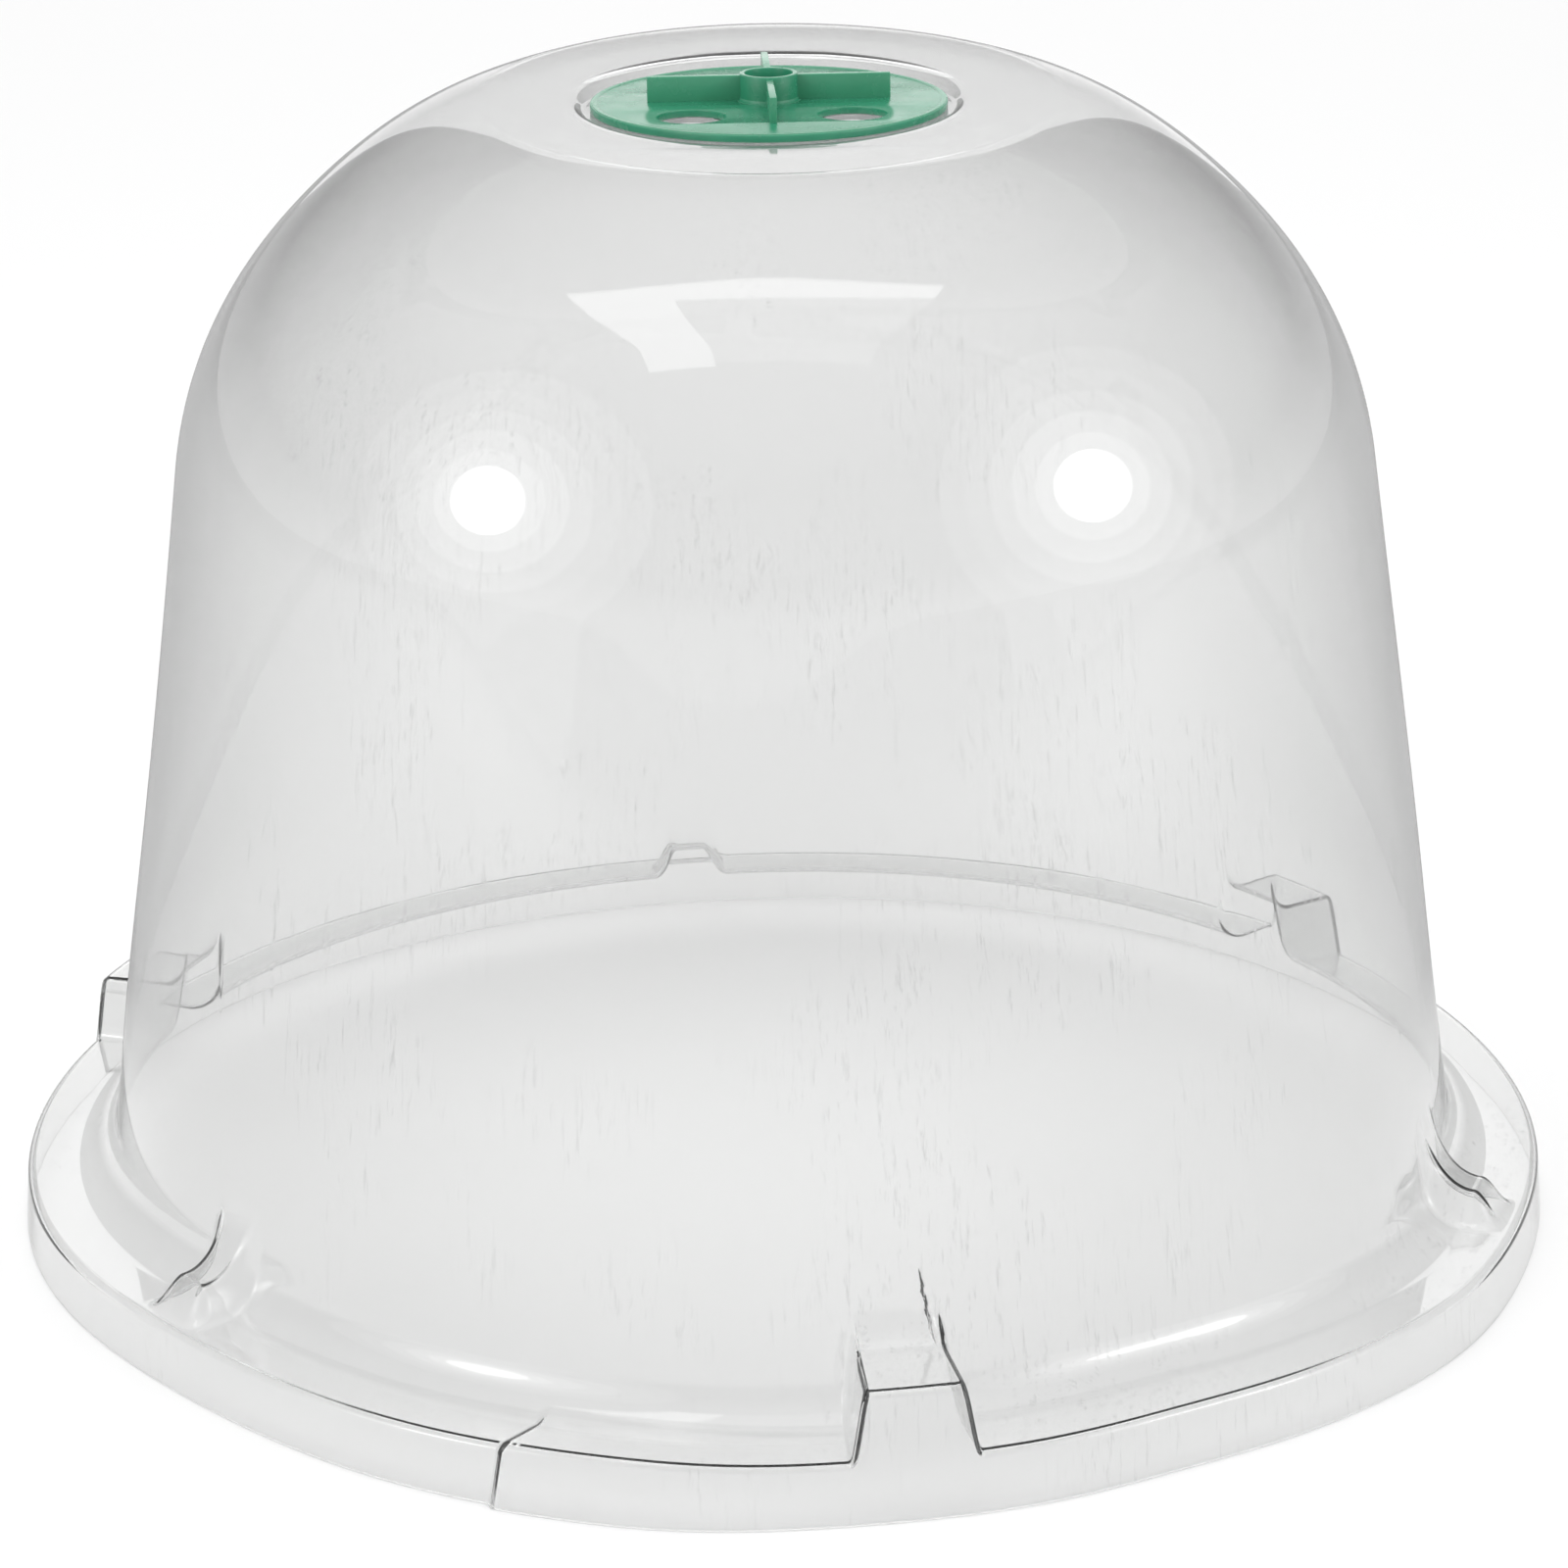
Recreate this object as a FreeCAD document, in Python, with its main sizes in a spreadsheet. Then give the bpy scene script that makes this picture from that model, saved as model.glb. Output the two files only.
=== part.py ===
import FreeCAD, Part

import math
import os

import Sketcher

# A bell-shaped plant cloche: one vacuum-formed clear sheet that stands on a turned-down skirt, with a
# moulded vent disc that turns in a round seat in the crown and is held from below by a push-in rivet.
# Frame: Z up, origin on the bell's axis at the level of the skirt's lower edge. Millimetres, degrees.

DIMENSIONS = {
    # the bell
    "bell_height": 188.4,         # ground to the rim of the vent seat
    "bell_radius": 114.8,         # the wall's line, carried down to the flange's top
    "wall_draft": 8.0,            # lean of the wall, degrees from upright
    "shoulder_radius": 71.0,
    "crown_width": 15.4,          # from the seat's rim out to the crown's edge
    "crown_rise": 0.9,            # from the crown's edge up to the seat's rim
    "sheet": 0.8,                 # thickness of the formed sheet
    # the foot
    "flange_width": 15.2,
    "skirt_height": 10.0,
    "skirt_draft": 0.8,           # how far the skirt leans in over its height
    "root_radius": 6.0,           # between the flange and the wall
    # three hollow stacking blocks on the flange
    "block_angle": 38.5,
    "block_width": 19.6,
    "block_side_draft": 2.2,      # how far each side leans in over the block's height
    "block_rise": 11.0,           # above the flange
    # three small hollow bosses on the flange
    "boss_angle": 98.5,
    "boss_width": 11.0,
    "boss_top_width": 3.2,
    "boss_rise": 5.2,
    "boss_margin": 3.0,           # from the boss's nose to the skirt
    "boss_nose_draft": 2.4,       # how far the nose leans in over the boss's height
    "foot_count": 3,              # blocks, and as many bosses
    # the vent disc
    "disc_radius": 28.7,
    "disc_thickness": 1.2,
    "disc_edge": 0.25,
    "hub_radius": 4.65,
    "hub_wall": 0.8,
    "hub_over_ribs": 0.3,
    "rib_reach": 19.5,            # from the axis to the rib's end
    "rib_height": 4.05,
    "rib_thickness": 1.15,
    "vent_count": 4,              # ribs, and as many vent holes
    "vent_hole_radius": 5.45,
    "vent_pitch_radius": 18.0,
    "vent_turn": 2.0,             # how far the vent stands turned
    # the seat in the crown
    "seat_gap": 1.3,              # round the disc, at the seat's floor
    "seat_flare": 1.6,            # how far the seat opens from its floor to its rim
    "disc_sink": 1.7,             # the disc's top lies this far under the seat's rim
    "slide_gap": 0.1,             # above and below the sheet, between the faces that slide on it
    "hub_clearance": 0.1,         # radial, hub in the sheet's hole
    # the rivet
    "rivet_radius": 9.0,
    "rivet_thickness": 1.6,
    "rivet_reach": 3.7,           # how far the stem goes up into the hub
    "rivet_core_radius": 2.4,
    "rivet_cap": 1.0,
    "rivet_edge": 0.4,
    "press": 0.02,                # radial interference, stem in the hub's bore
}

# Sizes that follow from the ones above, as expressions for the sheet's users.
FLANGE_RADIUS = "(Dims.bell_radius + Dims.flange_width)"
SEAT_FLOOR_RADIUS = "(Dims.disc_radius + Dims.seat_gap)"
SEAT_RIM_RADIUS = f"({SEAT_FLOOR_RADIUS} + Dims.seat_flare)"
SEAT_DEPTH = "(Dims.disc_sink + Dims.disc_thickness + Dims.slide_gap)"
SEAT_FLOOR_HEIGHT = f"(Dims.bell_height - {SEAT_DEPTH})"
CROWN_EDGE_RADIUS = f"({SEAT_RIM_RADIUS} + Dims.crown_width)"
CROWN_EDGE_HEIGHT = "(Dims.bell_height - Dims.crown_rise)"
BLOCK_TOP = "(Dims.skirt_height + Dims.block_rise)"
BOSS_TOP = "(Dims.skirt_height + Dims.boss_rise)"
HUB_BORE_RADIUS = "(Dims.hub_radius - Dims.hub_wall)"

doc = FreeCAD.newDocument("bell_cloche")


def make_dimension_sheet():
    sheet = doc.addObject("Spreadsheet::Sheet", "Dims")
    for row, (alias, value) in enumerate(DIMENSIONS.items(), start=1):
        sheet.set(f"A{row}", alias)
        sheet.set(f"B{row}", str(value))
        sheet.setAlias(f"B{row}", alias)
    doc.recompute()
    return sheet


dims = make_dimension_sheet()


def size(expression):
    """The present value of an expression over the dimension sheet."""
    probe = doc.addObject("App::FeaturePython", "Probe")
    probe.addProperty("App::PropertyFloat", "Value")
    probe.setExpression("Value", expression)
    probe.recompute()
    value = probe.Value
    doc.removeObject(probe.Name)
    return value


# ---------------------------------------------------------------- helpers

def make_body(label):
    body = doc.addObject("PartDesign::Body", label)
    body.Label = label
    return body


def origin_feature(body, role):
    return next(item for item in body.Origin.OriginFeatures if item.Role == role)


def make_sketch(body, name, plane, level=None, angle=None):
    """A sketch on one of the body's own origin planes, raised by level and turned by angle."""
    sketch = body.newObject("Sketcher::SketchObject", name)
    sketch.AttachmentSupport = [(origin_feature(body, plane), "")]
    sketch.MapMode = "FlatFace"
    if angle is not None:
        turn = FreeCAD.Rotation(FreeCAD.Vector(0, 0, 1), size(angle))
        sketch.AttachmentOffset = FreeCAD.Placement(FreeCAD.Vector(), turn)
        sketch.setExpression("AttachmentOffset.Rotation.Angle", angle)
    if level is not None:
        sketch.setExpression("AttachmentOffset.Base.z", level)
    return sketch


def bind(sketch, kind, references, expression, unit=""):
    """Add one dimension to a sketch and tie it to the sheet."""
    value = size(expression)
    if unit == "deg":
        value = math.radians(value)
    index = sketch.addConstraint(Sketcher.Constraint(kind, *references, value))
    sketch.setExpression(f"Constraints[{index}]", f"{expression} * 1 {unit}" if unit else expression)


def pin_point(sketch, geometry, end, across, up):
    """Tie a point of the sketch to its place, measured from the sketch's origin."""
    for kind, expression in (("DistanceX", across), ("DistanceY", up)):
        if expression == "0":
            axis = -2 if kind == "DistanceX" else -1
            sketch.addConstraint(Sketcher.Constraint("PointOnObject", geometry, end, axis))
        else:
            bind(sketch, kind, (-1, 1, geometry, end), expression)


def draw_polygon(sketch, corners):
    """A closed polygon whose corners are pairs of expressions."""
    points = [FreeCAD.Vector(size(across), size(up), 0) for across, up in corners]
    lines = [sketch.addGeometry(Part.LineSegment(start, end))
             for start, end in zip(points, points[1:] + points[:1])]
    for line, following in zip(lines, lines[1:] + lines[:1]):
        sketch.addConstraint(Sketcher.Constraint("Coincident", line, 2, following, 1))
    for line, (across, up) in zip(lines, corners):
        pin_point(sketch, line, 1, across, up)


def draw_circle(sketch, across, radius):
    """A circle on the sketch's own X axis."""
    centre = FreeCAD.Vector(size(across), 0, 0)
    circle = sketch.addGeometry(Part.Circle(centre, FreeCAD.Vector(0, 0, 1), size(radius)))
    pin_point(sketch, circle, 3, across, "0")
    bind(sketch, "Radius", (circle,), radius)


def revolve(body, name, sketch, kind="PartDesign::Revolution"):
    feature = body.newObject(kind, name)
    feature.Profile = sketch
    feature.ReferenceAxis = (sketch, ["V_Axis"])
    feature.Angle = 360.0
    body.Tip = feature
    doc.recompute()
    return feature


def loft(body, name, sketches, kind):
    feature = body.newObject(kind, name)
    feature.Profile = sketches[0]
    feature.Sections = sketches[1:]
    feature.Ruled = True
    body.Tip = feature
    doc.recompute()
    return feature


def cut_through(body, name, sketch):
    """Cut the sketch's outline through everything above and below its plane."""
    volume = body.Shape.Volume
    feature = body.newObject("PartDesign::Pocket", name)
    feature.Profile = sketch
    feature.Type = "ThroughAll"
    feature.Midplane = True
    body.Tip = feature
    doc.recompute()
    assert feature.Shape.Volume < volume, f"{name} cuts nothing"
    return feature


def polar_pattern(body, name, feature, count):
    pattern = body.newObject("PartDesign::PolarPattern", name)
    pattern.Originals = [feature]
    pattern.Axis = (origin_feature(body, "Z_Axis"), [""])
    pattern.Angle = 360.0
    pattern.setExpression("Occurrences", count)
    body.Tip = pattern
    doc.recompute()
    return pattern


# ---------------------------------------------------------------- dome_shell

def tangent_shoulder(wall_foot, lean, radius, crown_edge):
    """Centre of the arc that touches the wall's line and ends at the crown's edge."""
    along = FreeCAD.Vector(-math.sin(lean), math.cos(lean), 0)
    outward = FreeCAD.Vector(math.cos(lean), math.sin(lean), 0)
    base = wall_foot - outward * radius - crown_edge
    half = base.dot(along)
    travel = -half - math.sqrt(half ** 2 - base.dot(base) + radius ** 2)
    return crown_edge + base + along * travel


def draw_bell(sketch, inset):
    """The bell's section from axis to axis: inset 0 is its outer face, the sheet its inner face."""
    lean = math.radians(dims.wall_draft)
    seat_slant = f"sqrt(Dims.seat_flare * Dims.seat_flare + {SEAT_DEPTH} * {SEAT_DEPTH})"
    seat_shift = f"{inset} * ({seat_slant} - Dims.seat_flare) / {SEAT_DEPTH}"
    flange_level = f"Dims.skirt_height - {inset}"
    skirt_top = f"{FLANGE_RADIUS} - {inset} - Dims.skirt_draft * ({flange_level}) / Dims.skirt_height"
    wall_foot = f"Dims.bell_radius - {inset} / cos(Dims.wall_draft * 1 deg)"
    root = f"Dims.root_radius + {inset}"
    shoulder = f"Dims.shoulder_radius - {inset}"
    crown_edge = (CROWN_EDGE_RADIUS, f"{CROWN_EDGE_HEIGHT} - {inset}")
    seat_rim = (f"{SEAT_RIM_RADIUS} + {seat_shift}", f"Dims.bell_height - {inset}")
    seat_floor = (f"{SEAT_FLOOR_RADIUS} + {seat_shift}", f"{SEAT_FLOOR_HEIGHT} - {inset}")

    def point(across, up):
        return FreeCAD.Vector(size(across), size(up), 0)

    foot = point(wall_foot, "Dims.skirt_height")
    along = FreeCAD.Vector(-math.sin(lean), math.cos(lean), 0)
    outward = FreeCAD.Vector(math.cos(lean), math.sin(lean), 0)
    root_height = size(flange_level) + size(root)
    wall_radius = foot.x - (root_height - foot.y) * math.tan(lean)
    root_centre = FreeCAD.Vector(wall_radius + size(root) / math.cos(lean), root_height, 0)
    edge = point(*crown_edge)
    shoulder_centre = tangent_shoulder(foot, lean, size(shoulder), edge)
    edge_angle = math.atan2(edge.y - shoulder_centre.y, edge.x - shoulder_centre.x)
    wall_low = root_centre - outward * size(root)
    wall_high = shoulder_centre + outward * size(shoulder)
    flange_inner = FreeCAD.Vector(root_centre.x, size(flange_level), 0)

    axis_low, skirt_low = point("0", "0"), point(f"{FLANGE_RADIUS} - {inset}", "0")
    skirt_high, axis_high = point(skirt_top, flange_level), point("0", seat_floor[1])
    normal = FreeCAD.Vector(0, 0, 1)

    def line(start, end):
        return sketch.addGeometry(Part.LineSegment(start, end))

    def arc(centre, radius, start, end):
        return sketch.addGeometry(Part.ArcOfCircle(Part.Circle(centre, normal, radius), start, end))

    ground = line(axis_low, skirt_low)
    skirt = line(skirt_low, skirt_high)
    flange = line(skirt_high, flange_inner)
    root_arc = arc(root_centre, size(root), math.pi + lean, 1.5 * math.pi)
    wall = line(wall_low, wall_high)
    shoulder_arc = arc(shoulder_centre, size(shoulder), lean, edge_angle)
    crown = line(edge, point(*seat_rim))
    seat_wall = line(point(*seat_rim), point(*seat_floor))
    seat = line(point(*seat_floor), axis_high)
    axis = line(axis_high, axis_low)

    start, end = 1, 2
    corners = [(ground, skirt), (skirt, flange), (crown, seat_wall), (seat_wall, seat), (seat, axis),
               (axis, ground), (shoulder_arc, crown)]
    for first, second in corners:
        sketch.addConstraint(Sketcher.Constraint("Coincident", first, end, second, start))
    sketch.addConstraint(Sketcher.Constraint("Tangent", flange, end, root_arc, end))
    sketch.addConstraint(Sketcher.Constraint("Tangent", root_arc, start, wall, start))
    sketch.addConstraint(Sketcher.Constraint("Tangent", wall, end, shoulder_arc, start))
    sketch.addConstraint(Sketcher.Constraint("Horizontal", flange))
    sketch.addConstraint(Sketcher.Constraint("Horizontal", seat))
    pin_point(sketch, ground, start, "0", "0")
    pin_point(sketch, skirt, start, f"{FLANGE_RADIUS} - {inset}", "0")
    pin_point(sketch, flange, start, skirt_top, flange_level)
    pin_point(sketch, crown, start, *crown_edge)
    pin_point(sketch, seat_wall, start, *seat_rim)
    pin_point(sketch, seat, start, *seat_floor)
    sketch.addConstraint(Sketcher.Constraint("PointOnObject", axis, start, -2))
    bind(sketch, "Radius", (root_arc,), root)
    bind(sketch, "Radius", (shoulder_arc,), shoulder)
    bind(sketch, "Angle", (wall,), "(90 + Dims.wall_draft)", "deg")
    foot_mark = sketch.addGeometry(Part.Point(foot), True)
    pin_point(sketch, foot_mark, start, wall_foot, "Dims.skirt_height")
    sketch.addConstraint(Sketcher.Constraint("PointOnObject", foot_mark, start, wall))


def block_section(body, name, inset, at_top):
    """One level of a block: a rectangle from inside the bell out to the skirt."""
    lean = "Dims.block_side_draft" if at_top else "0"
    half_width = f"Dims.block_width / 2 - {lean} - {inset}"
    level = f"{BLOCK_TOP} - {inset}" if at_top else f"Dims.skirt_height - Dims.sheet - {inset}"
    sag = f"Dims.block_width * Dims.block_width / 8 / {FLANGE_RADIUS}"
    if inset == "0":
        inner, outer = "Dims.bell_radius - 10 * Dims.sheet", f"{FLANGE_RADIUS} + Dims.sheet"
    else:
        inner = "Dims.bell_radius - 20 * Dims.sheet"
        outer = (f"{FLANGE_RADIUS} - Dims.skirt_draft * ({level}) / Dims.skirt_height"
                 f" - {inset} - {sag}")
    sketch = make_sketch(body, name, "XY_Plane", level, "Dims.block_angle")
    draw_polygon(sketch, [(inner, f"-({half_width})"), (outer, f"-({half_width})"),
                          (outer, half_width), (inner, half_width)])
    return sketch


def boss_section(body, name, inset, at_top):
    """One level of a boss: a stadium's half, square inside the bell and round at its nose."""
    half_width = f"Dims.{'boss_top_width' if at_top else 'boss_width'} / 2 - {inset}"
    level = f"{BOSS_TOP} - {inset}" if at_top else f"Dims.skirt_height - Dims.sheet - {inset}"
    lean = "Dims.boss_nose_draft" if at_top else "0"
    nose = f"{FLANGE_RADIUS} - Dims.boss_margin - {lean} - {inset}"
    centre = f"{nose} - ({half_width})"
    inner = "Dims.bell_radius - 10 * Dims.sheet" if inset == "0" else "Dims.bell_radius - 20 * Dims.sheet"
    sketch = make_sketch(body, name, "XY_Plane", level, "Dims.boss_angle")
    low_inner = FreeCAD.Vector(size(inner), -size(half_width), 0)
    low_outer = FreeCAD.Vector(size(centre), -size(half_width), 0)
    high_outer = FreeCAD.Vector(size(centre), size(half_width), 0)
    high_inner = FreeCAD.Vector(size(inner), size(half_width), 0)
    low = sketch.addGeometry(Part.LineSegment(low_inner, low_outer))
    circle = Part.Circle(FreeCAD.Vector(size(centre), 0, 0), FreeCAD.Vector(0, 0, 1), size(half_width))
    round_nose = sketch.addGeometry(Part.ArcOfCircle(circle, -math.pi / 2, math.pi / 2))
    high = sketch.addGeometry(Part.LineSegment(high_outer, high_inner))
    back = sketch.addGeometry(Part.LineSegment(high_inner, low_inner))
    start, end, middle = 1, 2, 3
    sketch.addConstraint(Sketcher.Constraint("Tangent", low, end, round_nose, start))
    sketch.addConstraint(Sketcher.Constraint("Tangent", round_nose, end, high, start))
    sketch.addConstraint(Sketcher.Constraint("Coincident", high, end, back, start))
    sketch.addConstraint(Sketcher.Constraint("Coincident", back, end, low, start))
    sketch.addConstraint(Sketcher.Constraint("Vertical", back))
    sketch.addConstraint(Sketcher.Constraint("Horizontal", low))
    sketch.addConstraint(Sketcher.Constraint("Horizontal", high))
    pin_point(sketch, round_nose, middle, centre, "0")
    bind(sketch, "Radius", (round_nose,), half_width)
    bind(sketch, "DistanceX", (-1, 1, back, start), inner)
    return sketch


def make_dome_shell():
    body = make_body("dome_shell")
    outside = make_sketch(body, "BellOutside", "XZ_Plane")
    draw_bell(outside, "0")
    revolve(body, "Bell", outside)

    block_sections = [block_section(body, "BlockFoot", "0", False),
                      block_section(body, "BlockTop", "0", True)]
    block = loft(body, "Block", block_sections, "PartDesign::AdditiveLoft")
    polar_pattern(body, "Blocks", block, "Dims.foot_count")

    # The blocks' outer faces run flush with the skirt.
    def skirt_at(level):
        return f"{FLANGE_RADIUS} - Dims.skirt_draft * ({level}) / Dims.skirt_height"

    trim_low, trim_high = "Dims.skirt_height - 2 * Dims.sheet", f"{BLOCK_TOP} + Dims.sheet"
    far = f"{FLANGE_RADIUS} + 5 * Dims.sheet"
    trim = make_sketch(body, "SkirtLine", "XZ_Plane")
    draw_polygon(trim, [(skirt_at(trim_low), trim_low), (far, trim_low),
                        (far, trim_high), (skirt_at(trim_high), trim_high)])
    revolve(body, "BlockFaces", trim, "PartDesign::Groove")

    boss_sections = [boss_section(body, "BossFoot", "0", False),
                     boss_section(body, "BossTop", "0", True)]
    boss = loft(body, "Boss", boss_sections, "PartDesign::AdditiveLoft")
    polar_pattern(body, "Bosses", boss, "Dims.foot_count")

    # The sheet is hollow from below, blocks and bosses included.
    solid = body.Shape.Volume
    inside = make_sketch(body, "BellInside", "XZ_Plane")
    draw_bell(inside, "Dims.sheet")
    revolve(body, "Hollow", inside, "PartDesign::Groove")
    assert body.Shape.Volume < solid / 10, "the bell is not hollow"
    hollows = (("Block", block_section), ("Boss", boss_section))
    for name, section in hollows:
        sections = [section(body, f"{name}HollowFoot", "Dims.sheet", False),
                    section(body, f"{name}HollowTop", "Dims.sheet", True)]
        hollow = loft(body, f"{name}Hollow", sections, "PartDesign::SubtractiveLoft")
        polar_pattern(body, f"{name}Hollows", hollow, "Dims.foot_count")

    hub_hole = make_sketch(body, "HubHoleOutline", "XY_Plane")
    draw_circle(hub_hole, "0", "Dims.hub_radius + Dims.hub_clearance")
    cut_through(body, "HubHole", hub_hole)
    add_vent_holes(body, "(180 / Dims.vent_count + Dims.vent_turn)")
    return body


def add_vent_holes(body, angle):
    outline = make_sketch(body, "VentHoleOutline", "XY_Plane", angle=angle)
    draw_circle(outline, "Dims.vent_pitch_radius", "Dims.vent_hole_radius")
    hole = cut_through(body, "VentHole", outline)
    polar_pattern(body, "VentHoles", hole, "Dims.vent_count")


# ---------------------------------------------------------------- vent_disc

def make_vent_disc():
    """Local Z 0 is the disc's underside."""
    body = make_body("vent_disc")
    spigot_end = "-(2 * Dims.slide_gap + Dims.sheet)"
    top = "Dims.disc_thickness"
    hub_top = f"{top} + Dims.rib_height + Dims.hub_over_ribs"
    section = make_sketch(body, "DiscSection", "XZ_Plane")
    draw_polygon(section, [
        ("0", spigot_end), ("Dims.hub_radius", spigot_end), ("Dims.hub_radius", "0"),
        ("Dims.disc_radius", "0"), ("Dims.disc_radius", f"{top} - Dims.disc_edge"),
        ("Dims.disc_radius - Dims.disc_edge", top), ("Dims.hub_radius", top),
        ("Dims.hub_radius", hub_top), ("0", hub_top)])
    revolve(body, "DiscAndHub", section)

    rib_outline = make_sketch(body, "RibOutline", "XY_Plane", "Dims.disc_thickness / 2")
    half = "Dims.rib_thickness / 2"
    draw_polygon(rib_outline, [("Dims.hub_radius / 2", f"-{half}"), ("Dims.rib_reach", f"-{half}"),
                               ("Dims.rib_reach", half), ("Dims.hub_radius / 2", half)])
    rib = body.newObject("PartDesign::Pad", "Rib")
    rib.Profile = rib_outline
    rib.setExpression("Length", "Dims.rib_height + Dims.disc_thickness / 2")
    body.Tip = rib
    doc.recompute()
    polar_pattern(body, "Ribs", rib, "Dims.vent_count")

    bore = make_sketch(body, "BoreOutline", "XY_Plane")
    draw_circle(bore, "0", HUB_BORE_RADIUS)
    cut_through(body, "Bore", bore)
    add_vent_holes(body, "(180 / Dims.vent_count)")
    place_on_axis(body, f"{SEAT_FLOOR_HEIGHT} + Dims.slide_gap", "Dims.vent_turn")
    return body


# ---------------------------------------------------------------- vent_rivet

def make_vent_rivet():
    """Local Z 0 is the top of the rivet's head, which the hub's end stands on."""
    body = make_body("vent_rivet")
    stem = f"{HUB_BORE_RADIUS} + Dims.press"
    section = make_sketch(body, "RivetSection", "XZ_Plane")
    draw_polygon(section, [
        ("Dims.rivet_core_radius", "-Dims.rivet_thickness"),
        ("Dims.rivet_radius - Dims.rivet_edge", "-Dims.rivet_thickness"),
        ("Dims.rivet_radius", "-Dims.rivet_thickness + Dims.rivet_edge"),
        ("Dims.rivet_radius", "0"), (stem, "0"),
        (stem, "Dims.rivet_reach - Dims.rivet_edge"),
        (f"{stem} - Dims.rivet_edge", "Dims.rivet_reach"), ("0", "Dims.rivet_reach"),
        ("0", "Dims.rivet_reach - Dims.rivet_cap"),
        ("Dims.rivet_core_radius", "Dims.rivet_reach - Dims.rivet_cap")])
    revolve(body, "Rivet", section)
    place_on_axis(body, f"{SEAT_FLOOR_HEIGHT} - Dims.sheet - Dims.slide_gap", "Dims.vent_turn")
    return body


def place_on_axis(body, height, turn):
    rotation = FreeCAD.Rotation(FreeCAD.Vector(0, 0, 1), size(turn))
    body.Placement = FreeCAD.Placement(FreeCAD.Vector(0, 0, size(height)), rotation)
    body.setExpression("Placement.Base.z", height)
    body.setExpression("Placement.Rotation.Angle", turn)


# ---------------------------------------------------------------- build, check, write

parts = [make_dome_shell(), make_vent_disc(), make_vent_rivet()]
doc.recompute()

for item in doc.Objects:
    assert not {"Invalid", "Error"} & set(item.State), f"{item.Name} failed: {item.State}"

os.makedirs("parts", exist_ok=True)
for part in parts:
    shape = part.Shape
    assert not shape.isNull() and shape.isValid(), f"{part.Label} has no valid shape"
    assert len(shape.Solids) == 1, f"{part.Label} is not one solid"
    shape.exportStep(f"parts/{part.Label}.step")
    print(f"{part.Label}: {shape.Volume:.1f} mm3, box {shape.BoundBox}")
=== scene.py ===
"""A clear vacuum-formed bell cloche with a green turning vent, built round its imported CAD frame."""

import math

import bmesh
import bpy
import numpy as np
from mathutils import Matrix, Vector


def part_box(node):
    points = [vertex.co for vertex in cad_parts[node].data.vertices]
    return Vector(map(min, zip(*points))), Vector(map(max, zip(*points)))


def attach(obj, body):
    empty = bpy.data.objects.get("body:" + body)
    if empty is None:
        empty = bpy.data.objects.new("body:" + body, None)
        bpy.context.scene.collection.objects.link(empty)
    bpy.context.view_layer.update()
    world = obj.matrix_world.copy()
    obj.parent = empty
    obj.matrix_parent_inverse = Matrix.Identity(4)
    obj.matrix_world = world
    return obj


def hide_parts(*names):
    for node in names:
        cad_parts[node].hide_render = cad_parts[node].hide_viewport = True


MM = 0.001

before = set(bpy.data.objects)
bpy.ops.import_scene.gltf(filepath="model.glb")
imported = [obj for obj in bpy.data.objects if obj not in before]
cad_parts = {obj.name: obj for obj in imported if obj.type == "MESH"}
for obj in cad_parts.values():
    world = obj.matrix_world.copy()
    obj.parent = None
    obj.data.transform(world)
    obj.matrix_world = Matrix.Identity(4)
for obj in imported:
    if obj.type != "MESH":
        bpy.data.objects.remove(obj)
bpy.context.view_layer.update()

# ---------------------------------------------------------------- sizes, millimetres and degrees

shell_high = np.array(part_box("dome_shell")[1]) / MM
disc_low, disc_high = (np.array(corner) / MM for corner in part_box("vent_disc"))

FLANGE_RADIUS = 130.0
SKIRT_HEIGHT = 10.0
SKIRT_DRAFT = 0.8                        # how much narrower the skirt is at its top
FOOT_LIFT = 0.15                         # the cut edge leans with the skirt: its inner corner is lower
RIM_ROUND = 1.5
SHEET = 0.8
WALL_RADIUS = FLANGE_RADIUS - 15.2       # where the wall's line meets the flange's top
WALL_DRAFT = math.radians(8.0)
ROOT_ROUND = 7.5
SHOULDER_ROUND = 71.0
SEAT_RIM_HEIGHT = float(shell_high[2])
CROWN_EDGE = (47.0, SEAT_RIM_HEIGHT - 0.9)
SEAT_RIM_RADIUS = 31.6
SEAT_FLOOR_RADIUS = 30.0
SEAT_FLOOR_HEIGHT = SEAT_RIM_HEIGHT - 3.0
SEAT_ROUND = 1.4
SEAT_RUN_OUT = 2.75                      # how much lower the seat's rim is at the front than at the back
SEAT_FILL_RADIUS = 25.5                  # inside it the seat's floor is filled with triangles
CROWN_LEAN = 0.064                       # the crown's slope to the front
LEAN_HEIGHTS = (166.0, 185.0)            # where the lean begins, and where it is whole
DEGREES_PER_MM = math.degrees(1.0 / FLANGE_RADIUS)

BLOCK_AZIMUTHS = (8.5, 128.5, 248.5)     # from the front, towards +X
BLOCK_TOP = 21.0
BLOCK_FOOT_HALF = 10.3
BLOCK_TOP_HALF = 7.3
BLOCK_SOFTNESS = 0.36                    # the share of each flank that is rounded, at foot and top
BLOCK_ROOT_OUT = 4.5                     # how far its root reaches over its top
BLOCK_ROOT_UP = 6.5                      # and up the wall
BOSS_AZIMUTHS = (68.5, 188.5, 308.5)
BOSS_TOP = 15.2
BOSS_HALF = 8.0
BOSS_TOP_HALF = 2.8
BOSS_SOFTNESS = 0.5
BOSS_REACH_UP = 25.0                     # where its tail dies into the wall
BOSS_NOSE = FLANGE_RADIUS - 2.6          # where its ridge begins to rise from the flange
BOSS_CREST = FLANGE_RADIUS - 8.2         # and where it is at its full height

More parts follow.
